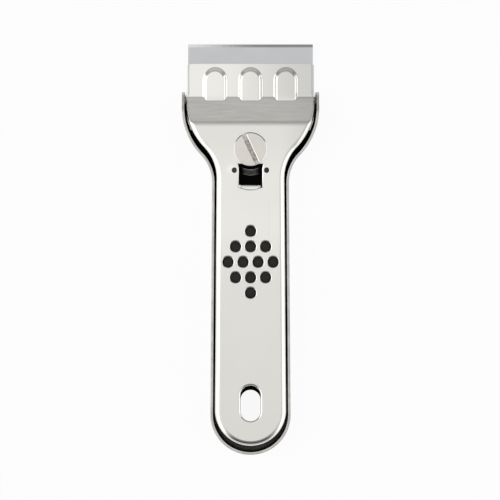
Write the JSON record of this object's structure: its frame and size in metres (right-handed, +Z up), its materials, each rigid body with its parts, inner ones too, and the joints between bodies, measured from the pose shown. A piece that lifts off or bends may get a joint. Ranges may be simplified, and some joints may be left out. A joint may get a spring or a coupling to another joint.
{
  "type": "razor blade scraper",
  "caption": "Flat hand scraper pressed from two nested metal shells that clamp a thin replaceable blade with one coin-slot screw.",
  "frame": {"origin": "middle of the whole length and width, on the surface that the scraper lies on", "axes": "+Z up out of the cover, +Y along the handle towards the cutting edge, X across the blade"},
  "size_m": [0.044, 0.1316, 0.0113],
  "materials": {
    "nickel_sheet": "bright nickel plate on pressed steel sheet",
    "blade_steel": "satin rolled strip with a ground bevel",
    "screw_nickel": "turned face, nickel plated",
    "plated_steel": "zinc plated"
  },
  "bodies": {
    "tray": {"bottom_shell": "nickel_sheet", "threaded_bush": "plated_steel"},
    "cover": {"top_shell": "nickel_sheet"},
    "blade": {"blade": "blade_steel"},
    "washer": {"washer": "plated_steel"},
    "screw": {"clamp_screw": "screw_nickel"}
  },
  "joints": [
    {"name": "screw_turn", "type": "hinge", "parent": "washer", "child": "screw", "pos_m": [0, 0.0319, 0.0095], "axis": [0, 0, 1], "range_deg": [0, 720]},
    {"name": "screw_lift", "type": "slide", "parent": "tray", "child": "washer", "axis": [0, 0, 1], "range_m": [0, 0.0016]},
    {"name": "jaw_open", "type": "hinge", "parent": "tray", "child": "cover", "pos_m": [0, 0.01937, 0.0086], "axis": [1, 0, 0], "range_deg": [0, 2]},
    {"name": "blade_slide", "type": "slide", "parent": "tray", "child": "blade", "axis": [0, 1, 0], "range_m": [0, 0.02]}
  ],
  "couplings": [
    {"joint": "screw_turn", "follows": "screw_lift", "rad_per_m": 7854},
    {"joint": "jaw_open", "follows": "screw_lift", "rad_per_m": 21.816}
  ]
}
